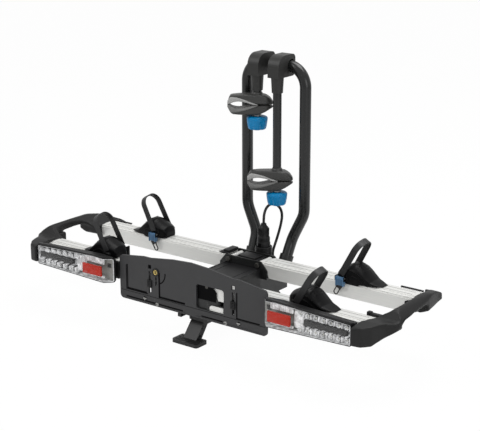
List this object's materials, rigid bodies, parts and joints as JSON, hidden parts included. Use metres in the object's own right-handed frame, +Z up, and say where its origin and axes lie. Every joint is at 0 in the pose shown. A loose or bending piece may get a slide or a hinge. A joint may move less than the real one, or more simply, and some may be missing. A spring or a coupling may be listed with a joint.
{
  "type": "hitch bike rack",
  "caption": "Folding tow-ball carrier for bicycles with tilting platform, hinged wings, lamps, wheel trays with straps, and a bow with clamping arms.",
  "frame": {"origin": "centre of the tow ball that the coupling grips; the floor of the parked carrier is 18 mm lower", "axes": "+X right as seen by somebody reading the number plate, +Y towards the car, +Z up"},
  "size_m": [1.28, 0.469, 0.76],
  "materials": {
    "black_plastic": "moulded, fine grain",
    "panel_plastic": "moulded, satin",
    "grey_plastic": "moulded",
    "blue_plastic": "soft blue knobs and buckles",
    "rail_metal": "anodised silver",
    "bow_metal": "black powder coat",
    "frame_metal": "black coated steel",
    "zinc_steel": "zinc plated",
    "clear_lens": "clear moulded lens",
    "silver_optic": "metallised lamp optic",
    "strap_rubber": "ribbed strap",
    "cord_rubber": "cable sheath"
  },
  "bodies": {
    "coupling": {"coupling_housing": "frame_metal", "coupling_pins": "zinc_steel"},
    "coupling_jaw": {"coupling_jaw": "frame_metal"},
    "clamp_lever": {"clamp_lever": "grey_plastic"},
    "platform": {"chassis_frame": "frame_metal", "hinge_bracket_front": "grey_plastic", "hinge_bracket_rear": "grey_plastic", "hinge_pins": "zinc_steel", "base_cover": "panel_plastic", "plate_holder": "panel_plastic", "chassis_bolts": "zinc_steel", "bow_bracket": "frame_metal", "bow_tube": "bow_metal", "plug_holder": "black_plastic", "plug": "black_plastic", "cable": "cord_rubber", "cable_gland": "black_plastic", "pedal_spring": "zinc_steel"},
    "foot_pedal": {"foot_pedal": "frame_metal"},
    "latch_rod": {"latch_rod": "zinc_steel"},
    "latch_hook": {"latch_hook": "frame_metal"},
    "lock_cylinder": {"lock_cylinder": "zinc_steel"},
    "plate_clip_left": {"plate_clip_left": "black_plastic"},
    "wing_left": {"rail_front_left": "rail_metal", "rail_rear_left": "rail_metal", "end_frame_left": "black_plastic", "lamp_housing_left": "black_plastic", "lamp_lens_left": "clear_lens", "lamp_reflector_left": "silver_optic"},
    "tray_front_left": {"tray_front_left": "black_plastic", "strap_front_left": "strap_rubber"},
    "buckle_front_left": {"buckle_front_left": "blue_plastic"},
    "tray_rear_left": {"tray_rear_left": "black_plastic", "strap_rear_left": "strap_rubber"},
    "buckle_rear_left": {"buckle_rear_left": "blue_plastic"},
    "arm_left": {"arm_cap_left": "black_plastic", "arm_tube_left": "bow_metal"},
    "claw_left": {"upper_jaw_left": "grey_plastic"},
    "washer_left": {"thrust_washer_left": "zinc_steel"},
    "knob_left": {"clamp_knob_left": "blue_plastic"},
    "jaw_left": {"lower_jaw_left": "grey_plastic"},
    "plate_clip_right": {"plate_clip_right": "black_plastic"},
    "wing_right": {"rail_front_right": "rail_metal", "rail_rear_right": "rail_metal", "end_frame_right": "black_plastic", "lamp_housing_right": "black_plastic", "lamp_lens_right": "clear_lens", "lamp_reflector_right": "silver_optic"},
    "tray_front_right": {"tray_front_right": "black_plastic", "strap_front_right": "strap_rubber"},
    "buckle_front_right": {"buckle_front_right": "blue_plastic"},
    "tray_rear_right": {"tray_rear_right": "black_plastic", "strap_rear_right": "strap_rubber"},
    "buckle_rear_right": {"buckle_rear_right": "blue_plastic"},
    "arm_right": {"arm_cap_right": "black_plastic", "arm_tube_right": "bow_metal"},
    "claw_right": {"upper_jaw_right": "grey_plastic"},
    "washer_right": {"thrust_washer_right": "zinc_steel"},
    "knob_right": {"clamp_knob_right": "blue_plastic"},
    "jaw_right": {"lower_jaw_right": "grey_plastic"}
  },
  "joints": [
    {"name": "platform_tilt", "type": "hinge", "parent": "coupling", "child": "platform", "pos_m": [0, -0.065, 0.015], "axis": [1, 0, 0], "range_deg": [0, 50]},
    {"name": "clamp_lever_lift", "type": "hinge", "parent": "coupling", "child": "clamp_lever", "pos_m": [0, -0.02, 0.05], "axis": [1, 0, 0], "range_deg": [0, 70]},
    {"name": "ball_jaw_open", "type": "hinge", "parent": "coupling", "child": "coupling_jaw", "pos_m": [0, -0.038, 0.014], "axis": [-1, 0, 0], "range_deg": [0, 20]},
    {"name": "pedal_press", "type": "hinge", "parent": "platform", "child": "foot_pedal", "pos_m": [0, -0.305, 0.044], "axis": [1, 0, 0], "range_deg": [0, 20], "stiffness_Nm_per_rad": 2.5, "springref_deg": -11.46},
    {"name": "latch_rod_pull", "type": "slide", "parent": "platform", "child": "latch_rod", "axis": [0, -1, 0], "range_m": [0, 0.0036]},
    {"name": "latch_hook_release", "type": "hinge", "parent": "platform", "child": "latch_hook", "pos_m": [0, -0.112, 0.066], "axis": [-1, 0, 0], "range_deg": [0, 15.1]},
    {"name": "lock_turn", "type": "hinge", "parent": "platform", "child": "lock_cylinder", "pos_m": [-0.125, -0.34, 0.161], "axis": [0, 1, 0], "range_deg": [0, 90]},
    {"name": "plate_clip_left_slide", "type": "slide", "parent": "platform", "child": "plate_clip_left", "axis": [0, 0, 1], "range_m": [0, 0.02]},
    {"name": "wing_fold_left", "type": "hinge", "parent": "platform", "child": "wing_left", "pos_m": [-0.052, -0.1865, 0.153], "axis": [0, 1, 0], "range_deg": [0, 78], "deforming": ["strap_front_left", "strap_rear_left"]},
    {"name": "tray_front_left_slide", "type": "slide", "parent": "wing_left", "child": "tray_front_left", "axis": [-1, 0, 0], "range_m": [-0.15, 0.03]},
    {"name": "buckle_front_left_flip", "type": "hinge", "parent": "tray_front_left", "child": "buckle_front_left", "pos_m": [-0.319, -0.2625, 0.176], "axis": [1, 0, 0], "range_deg": [0, 40]},
    {"name": "tray_rear_left_slide", "type": "slide", "parent": "wing_left", "child": "tray_rear_left", "axis": [-1, 0, 0], "range_m": [-0.15, 0.03]},
    {"name": "buckle_rear_left_flip", "type": "hinge", "parent": "tray_rear_left", "child": "buckle_rear_left", "pos_m": [-0.338, -0.1105, 0.176], "axis": [-1, 0, 0], "range_deg": [0, 40]},
    {"name": "arm_swing_left", "type": "hinge", "parent": "platform", "child": "arm_left", "pos_m": [-0.0355, 0.055, 0.709], "axis": [-1, 0, 0], "range_deg": [0, 120]},
    {"name": "claw_turn_left", "type": "hinge", "parent": "arm_left", "child": "claw_left", "pos_m": [-0.0355, 0.012, 0.594], "axis": [0, 0, 1], "range_deg": [-30, 55]},
    {"name": "clamp_screw_left", "type": "slide", "parent": "claw_left", "child": "washer_left", "axis": [0, 0, -1], "range_m": [0, 0.0225]},
    {"name": "knob_turn_left", "type": "hinge", "parent": "washer_left", "child": "knob_left", "pos_m": [-0.0355, 0.012, 0.544], "axis": [0, 0, -1], "range_deg": [0, 2026]},
    {"name": "jaw_open_left", "type": "hinge", "parent": "claw_left", "child": "jaw_left", "pos_m": [-0.00683, 0.03207, 0.594], "axis": [0.5736, -0.8192, 0], "range_deg": [0, 20.02]},
    {"name": "plate_clip_right_slide", "type": "slide", "parent": "platform", "child": "plate_clip_right", "axis": [0, 0, 1], "range_m": [0, 0.02]},
    {"name": "wing_fold_right", "type": "hinge", "parent": "platform", "child": "wing_right", "pos_m": [0.052, -0.1865, 0.153], "axis": [0, -1, 0], "range_deg": [0, 78], "deforming": ["strap_front_right", "strap_rear_right"]},
    {"name": "tray_front_right_slide", "type": "slide", "parent": "wing_right", "child": "tray_front_right", "axis": [1, 0, 0], "range_m": [-0.15, 0.03]},
    {"name": "buckle_front_right_flip", "type": "hinge", "parent": "tray_front_right", "child": "buckle_front_right", "pos_m": [0.348, -0.2625, 0.176], "axis": [1, 0, 0], "range_deg": [0, 40]},
    {"name": "tray_rear_right_slide", "type": "slide", "parent": "wing_right", "child": "tray_rear_right", "axis": [1, 0, 0], "range_m": [-0.15, 0.03]},
    {"name": "buckle_rear_right_flip", "type": "hinge", "parent": "tray_rear_right", "child": "buckle_rear_right", "pos_m": [0.338, -0.1105, 0.176], "axis": [-1, 0, 0], "range_deg": [0, 40]},
    {"name": "arm_swing_right", "type": "hinge", "parent": "platform", "child": "arm_right", "pos_m": [0.0355, 0.055, 0.709], "axis": [-1, 0, 0], "range_deg": [0, 120]},
    {"name": "claw_turn_right", "type": "hinge", "parent": "arm_right", "child": "claw_right", "pos_m": [0.0355, 0.012, 0.379], "axis": [0, 0, 1], "range_deg": [-30, 55]},
    {"name": "clamp_screw_right", "type": "slide", "parent": "claw_right", "child": "washer_right", "axis": [0, 0, -1], "range_m": [0, 0.0225]},
    {"name": "knob_turn_right", "type": "hinge", "parent": "washer_right", "child": "knob_right", "pos_m": [0.0355, 0.012, 0.329], "axis": [0, 0, -1], "range_deg": [0, 2026]},
    {"name": "jaw_open_right", "type": "hinge", "parent": "claw_right", "child": "jaw_right", "pos_m": [0.06417, 0.03207, 0.379], "axis": [0.5736, -0.8192, 0], "range_deg": [0, 20.02]}
  ],
  "couplings": [
    {"joint": "ball_jaw_open", "follows": "clamp_lever_lift", "ratio": 0.28571},
    {"joint": "latch_rod_pull", "follows": "pedal_press", "m_per_rad": 0.01},
    {"joint": "latch_hook_release", "follows": "pedal_press", "ratio": 0.75},
    {"joint": "knob_turn_left", "follows": "clamp_screw_left", "rad_per_m": 1570.8},
    {"joint": "jaw_open_left", "follows": "clamp_screw_left", "rad_per_m": 15.514},
    {"joint": "knob_turn_right", "follows": "clamp_screw_right", "rad_per_m": 1570.8},
    {"joint": "jaw_open_right", "follows": "clamp_screw_right", "rad_per_m": 15.514}
  ]
}
